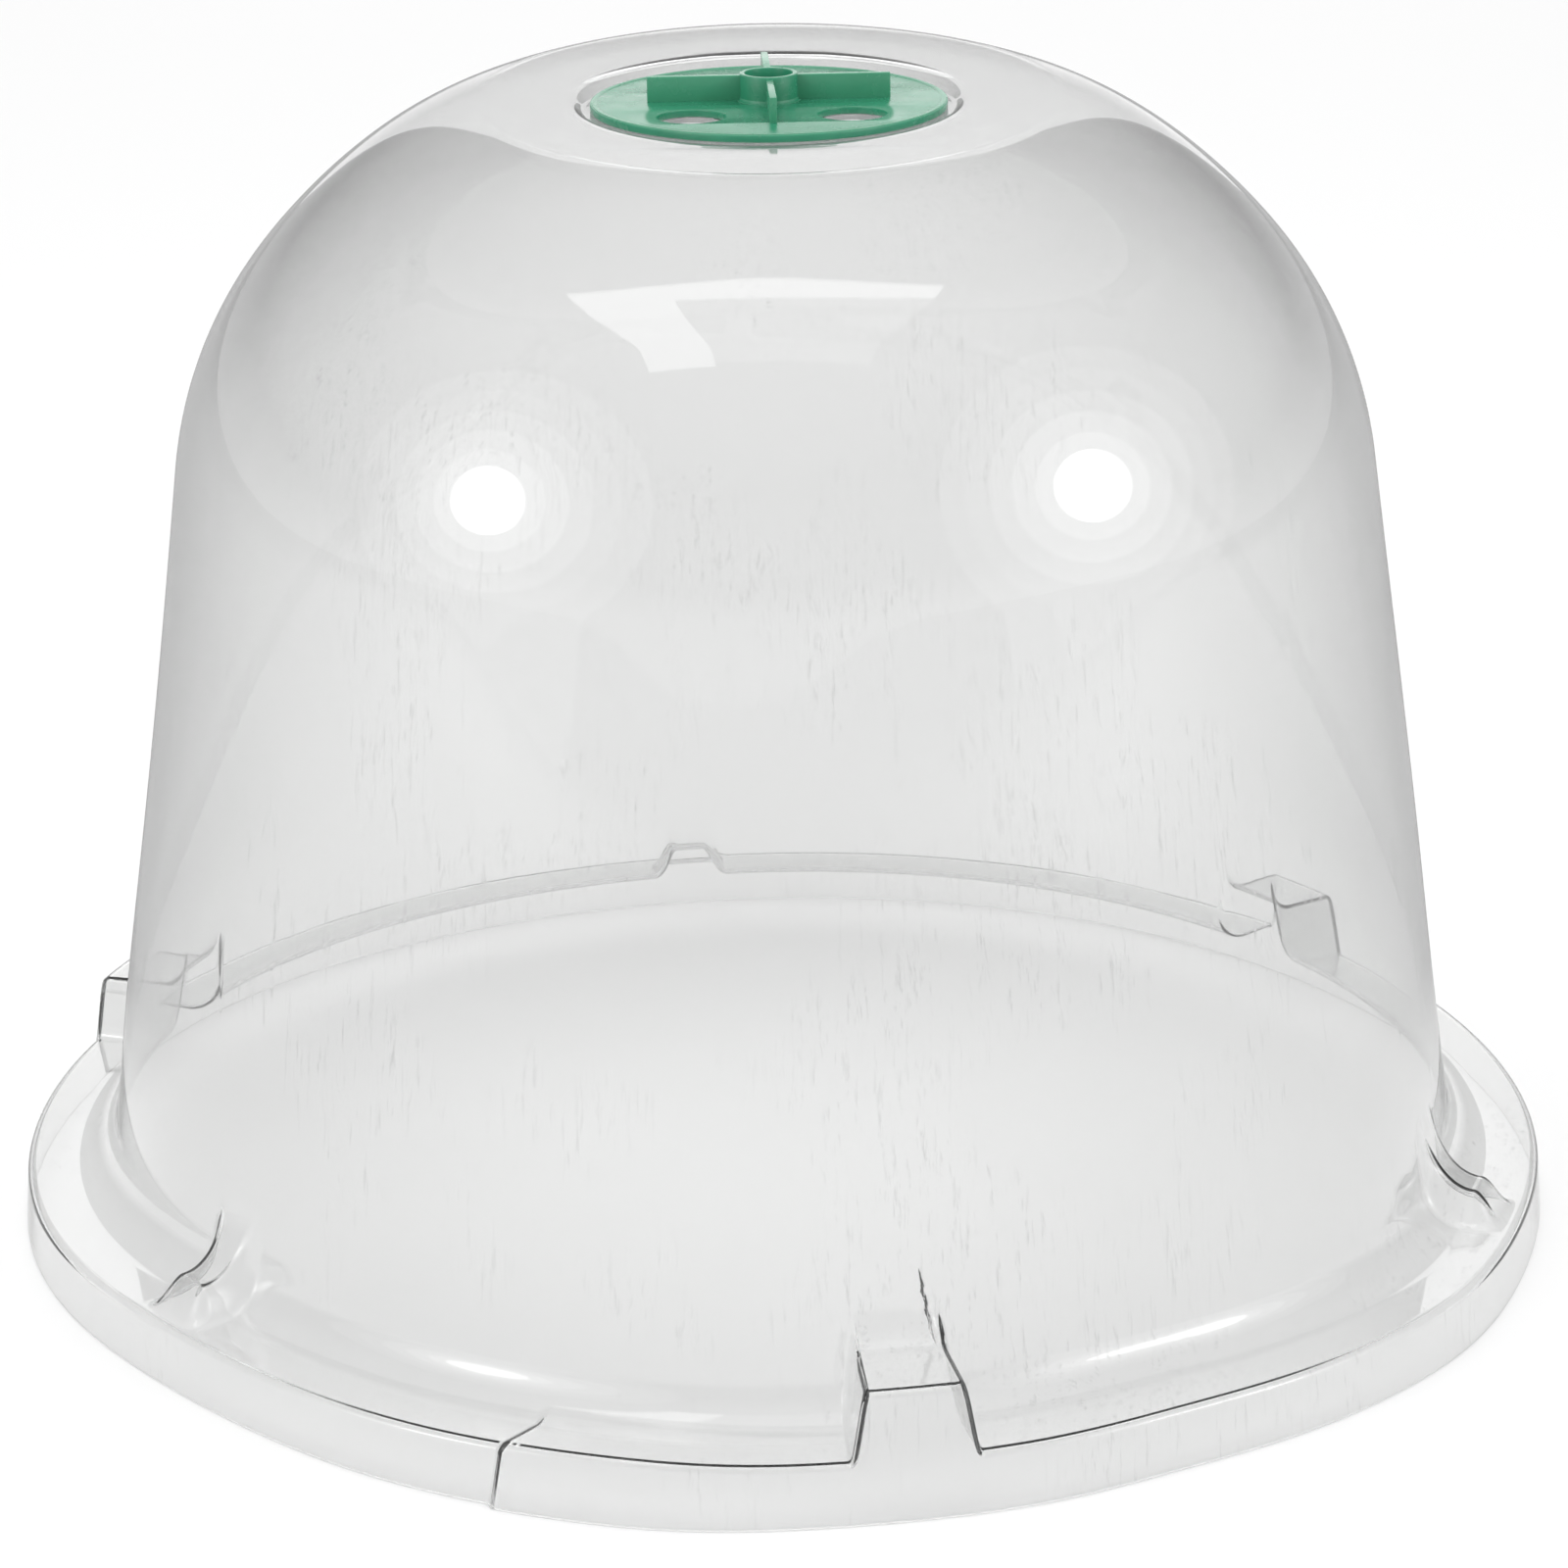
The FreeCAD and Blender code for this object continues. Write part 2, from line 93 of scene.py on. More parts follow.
STEP_AZIMUTH = -20.0                     # a joggle across the flange and down the skirt
STEP_PROUD = 1.2                         # outward
STEP_RISE = 0.8                          # upward, on the flange
STEP_RUN = 1.8
STEP_LEAN = 2.1                          # degrees it has drifted by the flange's inner side
STEP_FADE = (14.0, 52.0)                 # how far past the step it dies away
STEP_HEIGHT_FADE = (10.3, 12.5)          # how high it dies into the wall's root
STEP_RADIUS_FADE = (116.0, 123.0)        # and how far in

# Webs where the sheet gathered above the front block's right side: place across it, and depth.
WEBS = ((4.7, 0.45), (6.0, 0.9))
WEB_WIDTH = 0.55
WEB_FADE = (27.0, 36.0)                  # the heights between which they die away
WEB_DRIFT = 0.18                         # each leans to the block's middle by this much per mm of height

# What makes the drawn wall untrue: depth, waves round the bell, and the height of a radian.
WALL_WAVES = ((0.35, 3, 41.0), (0.18, 7, -23.0))
WAVES_START, WAVES_END = (20.0, 50.0), (160.0, 184.0)
# How the thin flange stands out of round: azimuth, width in degrees, depth.
FLANGE_SWELLS = ((-47.0, 19.0, -3.0), (-4.0, 9.0, 1.2), (28.0, 9.0, -1.5), (55.0, 11.0, 1.4),
                 (110.0, 24.0, -0.8), (165.0, 22.0, 0.9), (-125.0, 26.0, 0.8))
SWELL_FADE = (10.0, 70.0)                # the heights between which they die away up the wall

DISC_RADIUS = float(disc_high[0])
DISC_TOP = 186.7
DISC_THICKNESS = 1.2
HUB_RADIUS = 4.65
HUB_WALL = 0.8
HUB_BORE = HUB_RADIUS - HUB_WALL
HUB_TOP = float(disc_high[2])
DISC_EDGE = 0.22
RIB_TOP = HUB_TOP - 0.3
RIB_REACH = 19.5
RIB_THICKNESS = 1.15
RIB_EDGE = 0.16
VENT_HOLE_RADIUS = 5.45
VENT_PITCH_RADIUS = 18.0
VENT_TURN = math.radians(2.0)
HUB_HOLE_RADIUS = 4.75                   # in the seat, where the hub turns

# ---------------------------------------------------------------- looks and light

SHEET_IOR = 1.5
SHEET_TINT = (0.864, 0.866, 0.864)       # straight through
SHEET_EDGE_TINT = (0.83, 0.833, 0.83)    # at a graze, through more of the sheet
# Painted edge shade: a dark grey diffuse mixed into the sheet where it is seen at a graze, standing in for
# dim reflections there; the same grey also marks the real scuff streaks.
EDGE_SHADE_AND_SCUFF_TONE = (0.20, 0.20, 0.20)
EDGE_SHADE_SHARE = 0.72
LOW_EDGE_SHADE_SHARE = 0.1                     # on the flange and the blocks
EDGE_SHADE_HEIGHTS = (0.022, 0.045)            # metres: between them the painted edge shade goes from low to whole
SCUFF_SHARE = 0.16

# Light, as radiance: 1 shows as white. The room's tones run from the horizon (0) to overhead (1).
FLOOR_HALF = 6.0                         # metres
FLOOR_TONE = (0.90, 0.90, 0.90)
ROOM_TONES = ((0.0, 0.80), (0.16, 0.41), (0.55, 0.47), (1.0, 1.0))
ROOM_STRENGTH = 1.24
BACKDROP_GLOW = 0.95
# Each softbox is a stack of discs: diameters in metres, and what each adds.
SOFTBOX_LAYERS = ((0.42, 4.6), (0.62, 2.0), (0.88, 1.4), (1.15, 0.9), (1.45, 0.5), (1.8, 0.3))
SOFTBOX_PLACES = (("left", (-1.195, -0.875, 0.68)), ("right", (1.337, -0.667, 0.62)))
SOFTBOX_TARGET = (0, -0.08, 0.14)
FRAME_GLOW, PANE_GLOW = 1.6, 0.35
FRAME_HEIGHT = 1.65                      # metres over the floor

CAMERA_PLACE = (0.0, -0.7369, 0.3313)
CAMERA_PITCH, CAMERA_YAW, CAMERA_ROLL = 0.3405, 0.0013, -0.0134
CAMERA_LENS = 106.4


# ---------------------------------------------------------------- small helpers

def smooth(value, low, high):
    """0 below low, 1 above high, and an S curve between."""
    share = np.clip((value - low) / (high - low), 0.0, 1.0)
    return share * share * (3.0 - 2.0 * share)


def ramp(share, round_share=0.2):
    """A straight ramp from 0 to 1 whose two ends are rounded."""
    share = np.clip(share, 0.0, 1.0)
    top = 1.0 - round_share
    scale = 1.0 / (2.0 * round_share * top)
    low = scale * share ** 2
    middle = (share - round_share / 2.0) / top
    high = 1.0 - scale * (1.0 - share) ** 2
    return np.where(share < round_share, low, np.where(share > top, high, middle))


def arc(centre, radius, start, end, count):
    angles = np.linspace(start, end, count)
    return np.stack([centre[0] + radius * np.cos(angles), centre[1] + radius * np.sin(angles)], 1)


def run(start, end, count):
    return np.linspace(start, end, count + 2)[1:-1]


def curve(start, pull, end, count):
    """A quadratic curve's inner points."""
    share = np.linspace(0.0, 1.0, count + 2)[1:-1, None]
    start, pull, end = (np.array(point) for point in (start, pull, end))
    return (1 - share) ** 2 * start + 2 * share * (1 - share) * pull + share ** 2 * end


def mesh_piece(name, mesh, material, body, node):
    piece = bpy.data.objects.new(name, mesh)
    bpy.context.collection.objects.link(piece)
    mesh.materials.append(material)
    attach(piece, body)
    if node:
        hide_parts(node)
    return piece


# ---------------------------------------------------------------- node helpers

def new_material(name):
    material = bpy.data.materials.new(name)
    material.use_nodes = True
    nodes = material.node_tree.nodes
    return material, nodes, material.node_tree.links, nodes["Principled BSDF"]


def noise(nodes, links, scale, detail=4.0, roughness=0.55, vector=None):
    texture = nodes.new("ShaderNodeTexNoise")
    texture.inputs["Scale"].default_value = scale
    texture.inputs["Detail"].default_value = detail
    texture.inputs["Roughness"].default_value = roughness
    if vector is None:
        vector = nodes.new("ShaderNodeTexCoord").outputs["Object"]
    links.new(vector, texture.inputs["Vector"])
    return texture.outputs["Fac"]


def remap(nodes, links, value, from_low, from_high, to_low, to_high):
    node = nodes.new("ShaderNodeMapRange")
    node.inputs["From Min"].default_value = from_low
    node.inputs["From Max"].default_value = from_high
    node.inputs["To Min"].default_value = to_low
    node.inputs["To Max"].default_value = to_high
    links.new(value, node.inputs["Value"])
    return node.outputs["Result"]


def stretched(nodes, links, scale):
    """Object coordinates drawn out, for fine scratches."""
    mapping = nodes.new("ShaderNodeMapping")
    mapping.inputs["Scale"].default_value = scale
    links.new(nodes.new("ShaderNodeTexCoord").outputs["Object"], mapping.inputs["Vector"])
    return mapping.outputs["Vector"]


def add_bump(nodes, links, height, strength, distance, normal=None):
    bump = nodes.new("ShaderNodeBump")
    bump.inputs["Strength"].default_value = strength
    bump.inputs["Distance"].default_value = distance
    links.new(height, bump.inputs["Height"])
    if normal is not None:
        links.new(normal, bump.inputs["Normal"])
    return bump.outputs["Normal"]


# ---------------------------------------------------------------- materials

def clear_sheet_material():
    """Clear formed PET: glossy and slightly grey, wavy where it was drawn, with fine scuffs and a painted
    shade where it is seen at a graze.
    """
    material, nodes, links, shader = new_material("clear_formed_sheet")
    grazing = nodes.new("ShaderNodeLayerWeight")
    grazing.inputs["Blend"].default_value = 0.35
    tint = nodes.new("ShaderNodeMix")
    tint.data_type = "RGBA"
    tint.inputs["A"].default_value = (*SHEET_TINT, 1.0)
    tint.inputs["B"].default_value = (*SHEET_EDGE_TINT, 1.0)
    links.new(grazing.outputs["Facing"], tint.inputs["Factor"])
    links.new(tint.outputs["Result"], shader.inputs["Base Color"])
    shader.inputs["Transmission Weight"].default_value = 1.0
    shader.inputs["IOR"].default_value = SHEET_IOR

    scuffs = noise(nodes, links, 1.0, 6.0, 0.7, stretched(nodes, links, (900.0, 900.0, 60.0)))
    patches = noise(nodes, links, 24.0, 3.0)
    marks = nodes.new("ShaderNodeMath")
    marks.operation = "MULTIPLY"
    links.new(remap(nodes, links, scuffs, 0.57, 0.70, 0.0, 1.0), marks.inputs[0])
    links.new(remap(nodes, links, patches, 0.48, 0.62, 0.0, 1.0), marks.inputs[1])
    links.new(remap(nodes, links, marks.outputs[0], 0.0, 1.0, 0.015, 0.14), shader.inputs["Roughness"])

    waves = noise(nodes, links, 16.0, 2.0, 0.4)
    links.new(add_bump(nodes, links, waves, 0.10, 0.0010), shader.inputs["Normal"])

    # Painted edge shade: a dark grey diffuse is mixed in where the wall is seen at a graze, standing in for
    # dim reflections there; real fine scuffs add the same grey in streaks all over.
    facing = nodes.new("ShaderNodeLayerWeight")
    facing.inputs["Blend"].default_value = 0.5
    rise = nodes.new("ShaderNodeMath")
    rise.operation = "POWER"
    rise.inputs[1].default_value = 3.0
    links.new(facing.outputs["Facing"], rise.inputs[0])
    place = nodes.new("ShaderNodeSeparateXYZ")
    links.new(nodes.new("ShaderNodeTexCoord").outputs["Object"], place.inputs["Vector"])
    painted_edge_shade = nodes.new("ShaderNodeMath")
    painted_edge_shade.operation = "MULTIPLY"
    links.new(rise.outputs[0], painted_edge_shade.inputs[0])
    edge_shade_by_height = remap(nodes, links, place.outputs["Z"], *EDGE_SHADE_HEIGHTS, LOW_EDGE_SHADE_SHARE, EDGE_SHADE_SHARE)
    links.new(edge_shade_by_height, painted_edge_shade.inputs[1])
    edge_shade_and_scuffs = nodes.new("ShaderNodeMath")
    edge_shade_and_scuffs.operation = "MAXIMUM"
    links.new(painted_edge_shade.outputs[0], edge_shade_and_scuffs.inputs[0])
    links.new(remap(nodes, links, marks.outputs[0], 0.0, 1.0, 0.0, SCUFF_SHARE), edge_shade_and_scuffs.inputs[1])
    # The dark grey diffuse: painted edge shade at a graze, and real scuff streaks.
    shade_and_scuff_diffuse = nodes.new("ShaderNodeBsdfDiffuse")
    shade_and_scuff_diffuse.inputs["Color"].default_value = (*EDGE_SHADE_AND_SCUFF_TONE, 1.0)
    with_shade_and_scuffs = nodes.new("ShaderNodeMixShader")
    links.new(edge_shade_and_scuffs.outputs[0], with_shade_and_scuffs.inputs["Fac"])
    links.new(shader.outputs["BSDF"], with_shade_and_scuffs.inputs[1])
    links.new(shade_and_scuff_diffuse.outputs["BSDF"], with_shade_and_scuffs.inputs[2])

    # Lamps shine through the sheet.
    let_through = nodes.new("ShaderNodeBsdfTransparent")
    let_through.inputs["Color"].default_value = (0.99, 0.99, 0.99, 1.0)
    mix = nodes.new("ShaderNodeMixShader")
    links.new(nodes.new("ShaderNodeLightPath").outputs["Is Shadow Ray"], mix.inputs["Fac"])
    links.new(with_shade_and_scuffs.outputs["Shader"], mix.inputs[1])
    links.new(let_through.outputs["BSDF"], mix.inputs[2])
    links.new(mix.outputs["Shader"], nodes["Material Output"].inputs["Surface"])
    return material


def trimmed_edge_material():
    """Where the sheet was cut: the same plastic, left frosted by the blade."""
    material, nodes, links, shader = new_material("trimmed_edge")
    shader.inputs["Base Color"].default_value = (0.93, 0.93, 0.93, 1.0)
    shader.inputs["Transmission Weight"].default_value = 0.55
    shader.inputs["IOR"].default_value = SHEET_IOR
    tool_marks = noise(nodes, links, 1.0, 3.0, 0.6, stretched(nodes, links, (700.0, 700.0, 90.0)))
    links.new(remap(nodes, links, tool_marks, 0.3, 0.7, 0.35, 0.60), shader.inputs["Roughness"])
    links.new(add_bump(nodes, links, tool_marks, 0.25, 0.00008), shader.inputs["Normal"])
    return material


def green_moulding_material():
    """Satin green polypropylene with faint flow marks and paler handled edges."""
    material, nodes, links, shader = new_material("green_moulding")
    shader.inputs["IOR"].default_value = 1.49
    shader.inputs["Subsurface Weight"].default_value = 0.12
    shader.inputs["Subsurface Radius"].default_value = (0.0006, 0.0012, 0.0008)
    shader.inputs["Subsurface Scale"].default_value = 1.0

    flow = noise(nodes, links, 60.0, 4.0, 0.6, stretched(nodes, links, (1.0, 2.4, 1.0)))
    tint = nodes.new("ShaderNodeValToRGB")
    tint.color_ramp.elements[0].position = 0.35
    tint.color_ramp.elements[0].color = (0.026, 0.225, 0.122, 1.0)
    tint.color_ramp.elements[1].position = 0.70
    tint.color_ramp.elements[1].color = (0.040, 0.275, 0.158, 1.0)
    links.new(flow, tint.inputs["Fac"])
    geometry = nodes.new("ShaderNodeNewGeometry")
    edge = remap(nodes, links, geometry.outputs["Pointiness"], 0.53, 0.60, 0.0, 0.55)
    worn = nodes.new("ShaderNodeMix")
    worn.data_type = "RGBA"
    worn.inputs["B"].default_value = (0.16, 0.42, 0.27, 1.0)
    links.new(edge, worn.inputs["Factor"])
    links.new(tint.outputs["Color"], worn.inputs["A"])
    links.new(worn.outputs["Result"], shader.inputs["Base Color"])

    satin = noise(nodes, links, 260.0, 3.0, 0.5)
    links.new(remap(nodes, links, satin, 0.3, 0.7, 0.20, 0.30), shader.inputs["Roughness"])
    grain = noise(nodes, links, 1800.0, 2.0, 0.5)
    fine = add_bump(nodes, links, grain, 0.15, 0.00004)
    links.new(add_bump(nodes, links, flow, 0.06, 0.00025, fine), shader.inputs["Normal"])
    return material


# ---------------------------------------------------------------- the bell's section

def shoulder_centre():
    """The centre of the arc that touches the wall and ends at the crown's edge."""
    along = np.array([-math.sin(WALL_DRAFT), math.cos(WALL_DRAFT)])
    outward = np.array([math.cos(WALL_DRAFT), math.sin(WALL_DRAFT)])
    base = np.array([WALL_RADIUS, SKIRT_HEIGHT]) - outward * SHOULDER_ROUND - np.array(CROWN_EDGE)
    half = base @ along
    travel = -half - math.sqrt(half ** 2 - base @ base + SHOULDER_ROUND ** 2)
    return np.array(CROWN_EDGE) + base + along * travel


def wall_at(height):
    return WALL_RADIUS - (height - SKIRT_HEIGHT) * math.tan(WALL_DRAFT)


def skirt_at(height):
    return FLANGE_RADIUS - SKIRT_DRAFT * height / SKIRT_HEIGHT


SKIRT_ROWS, RIM_ROWS, FLANGE_ROWS, ROOT_ROWS, LOW_WALL_ROWS = 12, 9, 22, 14, 24
BOSS_TAIL_ROWS = 8                       # rows that a boss takes from the low wall
LOW_WALL_TOP = 40.0


def foot_rows():
    """The section from the skirt's lower edge over the flange to the low wall."""
    root_height = SKIRT_HEIGHT + ROOT_ROUND
    root_x = wall_at(root_height) + ROOT_ROUND / math.cos(WALL_DRAFT)
    rim = skirt_at(SKIRT_HEIGHT - RIM_ROUND)
    low_wall = root_height - ROOT_ROUND * math.sin(WALL_DRAFT)
    return np.vstack([
        np.linspace((skirt_at(0.0), FOOT_LIFT), (rim, SKIRT_HEIGHT - RIM_ROUND), SKIRT_ROWS),
        arc((rim - RIM_ROUND, SKIRT_HEIGHT - RIM_ROUND), RIM_ROUND, 0.0, math.pi / 2, RIM_ROWS + 1)[1:],
        run((rim - RIM_ROUND, SKIRT_HEIGHT), (root_x, SKIRT_HEIGHT), FLANGE_ROWS),
        arc((root_x, root_height), ROOT_ROUND, 1.5 * math.pi, math.pi + WALL_DRAFT, ROOT_ROWS),
        run((wall_at(low_wall), low_wall), (wall_at(LOW_WALL_TOP), LOW_WALL_TOP), LOW_WALL_ROWS),
    ])


def block_rows():
    """The same rows where they run over a block: up flush with the skirt, then in to the wall."""
    rim = skirt_at(BLOCK_TOP - RIM_ROUND)
    inner = wall_at(BLOCK_TOP) + BLOCK_ROOT_OUT
    high = BLOCK_TOP + BLOCK_ROOT_UP
    return np.vstack([
        np.linspace((skirt_at(0.0), FOOT_LIFT), (rim, BLOCK_TOP - RIM_ROUND), SKIRT_ROWS),
        arc((rim - RIM_ROUND, BLOCK_TOP - RIM_ROUND), RIM_ROUND, 0.0, math.pi / 2, RIM_ROWS + 1)[1:],
        run((rim - RIM_ROUND, BLOCK_TOP), (inner, BLOCK_TOP + 0.2), FLANGE_ROWS),
        curve((inner, BLOCK_TOP + 0.2), (wall_at(BLOCK_TOP) + 0.3, BLOCK_TOP + 0.5),
              (wall_at(high), high), ROOT_ROWS),
        run((wall_at(high), high), (wall_at(LOW_WALL_TOP), LOW_WALL_TOP), LOW_WALL_ROWS),
    ])


def boss_rows(plain):
    """The same rows over a boss's ridge: up from near the rim, level, then up the wall."""
    rows = plain.copy()
    first = SKIRT_ROWS + RIM_ROWS
    flange = slice(first, first + FLANGE_ROWS)
    rise = 1.0 - smooth(rows[flange, 0], BOSS_CREST, BOSS_NOSE)
    rows[flange, 1] += (BOSS_TOP - SKIRT_HEIGHT) * rise
    start = rows[first + FLANGE_ROWS - 1].copy()
    high = BOSS_REACH_UP
    rows[first + FLANGE_ROWS:first + FLANGE_ROWS + ROOT_ROWS + LOW_WALL_ROWS] = np.vstack([
        curve(start, (wall_at(16.0) + 2.4, BOSS_TOP + 0.2), (wall_at(high), high),
              ROOT_ROWS + BOSS_TAIL_ROWS),
        run((wall_at(high), high), (wall_at(LOW_WALL_TOP), LOW_WALL_TOP), LOW_WALL_ROWS - BOSS_TAIL_ROWS),
    ])
    return rows


def upper_rows():
    """The section from the low wall over the shoulder and crown into the vent's seat."""
    centre = shoulder_centre()
    edge_angle = math.atan2(CROWN_EDGE[1] - centre[1], CROWN_EDGE[0] - centre[0])
    wall_top = centre + SHOULDER_ROUND * np.array([math.cos(WALL_DRAFT), math.sin(WALL_DRAFT)])
    slant = np.array([SEAT_FLOOR_RADIUS - SEAT_RIM_RADIUS, SEAT_FLOOR_HEIGHT - SEAT_RIM_HEIGHT])
    slant = slant / np.hypot(*slant)
    rim_in = np.array([SEAT_RIM_RADIUS + SEAT_ROUND, SEAT_RIM_HEIGHT - 0.05])
    rim_out = np.array([SEAT_RIM_RADIUS, SEAT_RIM_HEIGHT]) + slant * SEAT_ROUND
    floor_in = np.array([SEAT_FLOOR_RADIUS, SEAT_FLOOR_HEIGHT]) - slant * 0.6
    floor_out = np.array([SEAT_FLOOR_RADIUS - 0.6, SEAT_FLOOR_HEIGHT])
    return np.vstack([
        np.linspace((wall_at(LOW_WALL_TOP), LOW_WALL_TOP), wall_top, 34),
        arc(centre, SHOULDER_ROUND, WALL_DRAFT, edge_angle, 64)[1:],
        run(CROWN_EDGE, rim_in, 14),
        [rim_in],
        curve(rim_in, (SEAT_RIM_RADIUS, SEAT_RIM_HEIGHT), rim_out, 6),
        np.linspace(rim_out, floor_in, 5),
        curve(floor_in, (SEAT_FLOOR_RADIUS, SEAT_FLOOR_HEIGHT), floor_out, 4),
        np.linspace(floor_out, (SEAT_FILL_RADIUS, SEAT_FLOOR_HEIGHT), 3),
    ])


# ---------------------------------------------------------------- the sheet's surface

def columns():
    """Azimuths in degrees, close together where the blocks, the bosses and the step need it."""
    angles = list(np.arange(-180.0, 180.0, 1.25))
    for middle in BLOCK_AZIMUTHS:
        for side in (-1, 1):
            offsets = np.arange(BLOCK_TOP_HALF - 1.2, BLOCK_FOOT_HALF + 1.2, 0.2)
            angles += list(middle + side * offsets * DEGREES_PER_MM)
        angles += list(middle + np.arange(-6.0, 6.01, 0.5) * DEGREES_PER_MM)
    for middle in BOSS_AZIMUTHS:
        angles += list(middle + np.arange(-8.4, 8.41, 0.3) * DEGREES_PER_MM)
    angles += list(STEP_AZIMUTH + np.arange(-2.0, 8.4, 0.2) * DEGREES_PER_MM)
    angles = np.sort((np.array(angles) + 180.0) % 360.0 - 180.0)
    gap = 0.12 * DEGREES_PER_MM
    kept = [angles[0]]
    for angle in angles[1:]:
        if angle - kept[-1] > gap and angle < 180.0 - gap:
            kept.append(angle)
    return np.array(kept)


def turn_from(azimuths, middle):
    return (azimuths - middle + 180.0) % 360.0 - 180.0


def flange_warp(azimuths):
    """How far the flange stands out of round, as the thin sheet does once it is out of the mould."""
    return sum(depth * np.exp(-(turn_from(azimuths, middle) / width) ** 2)
               for middle, width, depth in FLANGE_SWELLS)


def foot_with_mouldings(azimuths, plain):
    """The foot's section at each azimuth, with the blocks and bosses raised in it."""
    block, boss = block_rows(), boss_rows(plain)
    foot = np.repeat(plain[:, None, :], len(azimuths), axis=1)
    for middle in BLOCK_AZIMUTHS:
        across = np.abs(turn_from(azimuths, middle)) / DEGREES_PER_MM
        share = ramp((BLOCK_FOOT_HALF - across) / (BLOCK_FOOT_HALF - BLOCK_TOP_HALF), BLOCK_SOFTNESS)
        foot = foot + share[None, :, None] * (block[:, None, :] - plain[:, None, :])
    for middle in BOSS_AZIMUTHS:
        across = np.abs(turn_from(azimuths, middle)) / DEGREES_PER_MM
        share = ramp((BOSS_HALF - across) / (BOSS_HALF - BOSS_TOP_HALF), BOSS_SOFTNESS)
        foot = foot + share[None, :, None] * (boss[:, None, :] - plain[:, None, :])
    return foot


def add_step(foot, azimuths, plain):
    """The step: everything just right of it stands prouder, and that dies away round the flange."""
    skirt_top = SKIRT_ROWS + RIM_ROWS
    rows = np.arange(len(plain))
    row_lean = np.interp(rows, (0, SKIRT_ROWS, skirt_top, skirt_top + FLANGE_ROWS),
                         (0.0, 0.6, 1.0, STEP_LEAN))
    past = (turn_from(azimuths[None, :], STEP_AZIMUTH) - row_lean[:, None]) / DEGREES_PER_MM
    proud = ramp(past / STEP_RUN + 0.5, 0.5) * (1.0 - smooth(past, *STEP_FADE))
    low, outside = 1.0 - smooth(plain[:, 1], *STEP_HEIGHT_FADE), smooth(plain[:, 0], *STEP_RADIUS_FADE)
    fade = (low * outside)[:, None]
    foot[:, :, 0] += STEP_PROUD * proud * fade
    on_top = (rows >= SKIRT_ROWS)[:, None]
    foot[:, :, 1] += STEP_RISE * proud * fade * on_top


def add_webs(foot, azimuths):
    for offset, depth in WEBS:
        height = foot[:, :, 1]
        across = turn_from(azimuths, BLOCK_AZIMUTHS[0])[None, :] / DEGREES_PER_MM
        drift = offset - WEB_DRIFT * (height - BLOCK_TOP)
        along = smooth(height, BLOCK_TOP - 1.0, BLOCK_TOP + 3.0) * (1.0 - smooth(height, *WEB_FADE))
        foot[:, :, 0] += depth * along * np.exp(-((across - drift) / WEB_WIDTH) ** 2)


def bell_surface():
    """The sheet's outer surface as rows of points, from the skirt's lower edge to the seat's floor."""
    azimuths = columns()
    plain = foot_rows()
    foot = foot_with_mouldings(azimuths, plain)
    add_step(foot, azimuths, plain)
    add_webs(foot, azimuths)

    grid = np.vstack([foot, np.repeat(upper_rows()[:, None, :], len(azimuths), axis=1)])
    radius, height = grid[:, :, 0], grid[:, :, 1]
    low_share = 1.0 - smooth(height, *SWELL_FADE)
    radius = radius + flange_warp(azimuths)[None, :] * low_share
    angle = np.radians(azimuths)[None, :]
    body = smooth(height, *WAVES_START) * (1.0 - smooth(height, *WAVES_END))
    radius = radius + body * sum(depth * np.sin(waves * angle + height / radian)
                                 for depth, waves, radian in WALL_WAVES)
    x, y = radius * np.sin(angle), -radius * np.cos(angle)
    # The crown leans a little to the front, and the seat's floor stays level, so its wall runs out there.
    on_crown = smooth(radius, SEAT_RIM_RADIUS, CROWN_EDGE[0])
    lean = CROWN_LEAN * smooth(height, *LEAN_HEIGHTS) * on_crown
    up_wall = np.clip((height - SEAT_FLOOR_HEIGHT) / (SEAT_RIM_HEIGHT - SEAT_FLOOR_HEIGHT), 0.0, 1.0)
    near_seat = smooth(height, SEAT_FLOOR_HEIGHT - 8.0, SEAT_FLOOR_HEIGHT) * (radius < CROWN_EDGE[0])
    run_out = SEAT_RUN_OUT * (1.0 - np.clip(y / SEAT_RIM_RADIUS, -1.0, 1.0)) / 2.0
    height = height + lean * y - run_out * up_wall * near_seat * (1.0 - on_crown)
    return np.stack([x, y, height], -1)


def vent_hole_centres(turn=0.0):
    """The four vent holes' middles: the disc's own, or the seat's at the disc's turn."""
    angles = [turn + math.radians(45.0 + 90.0 * quarter) for quarter in range(4)]
    return [(VENT_PITCH_RADIUS * math.cos(angle), VENT_PITCH_RADIUS * math.sin(angle)) for angle in angles]


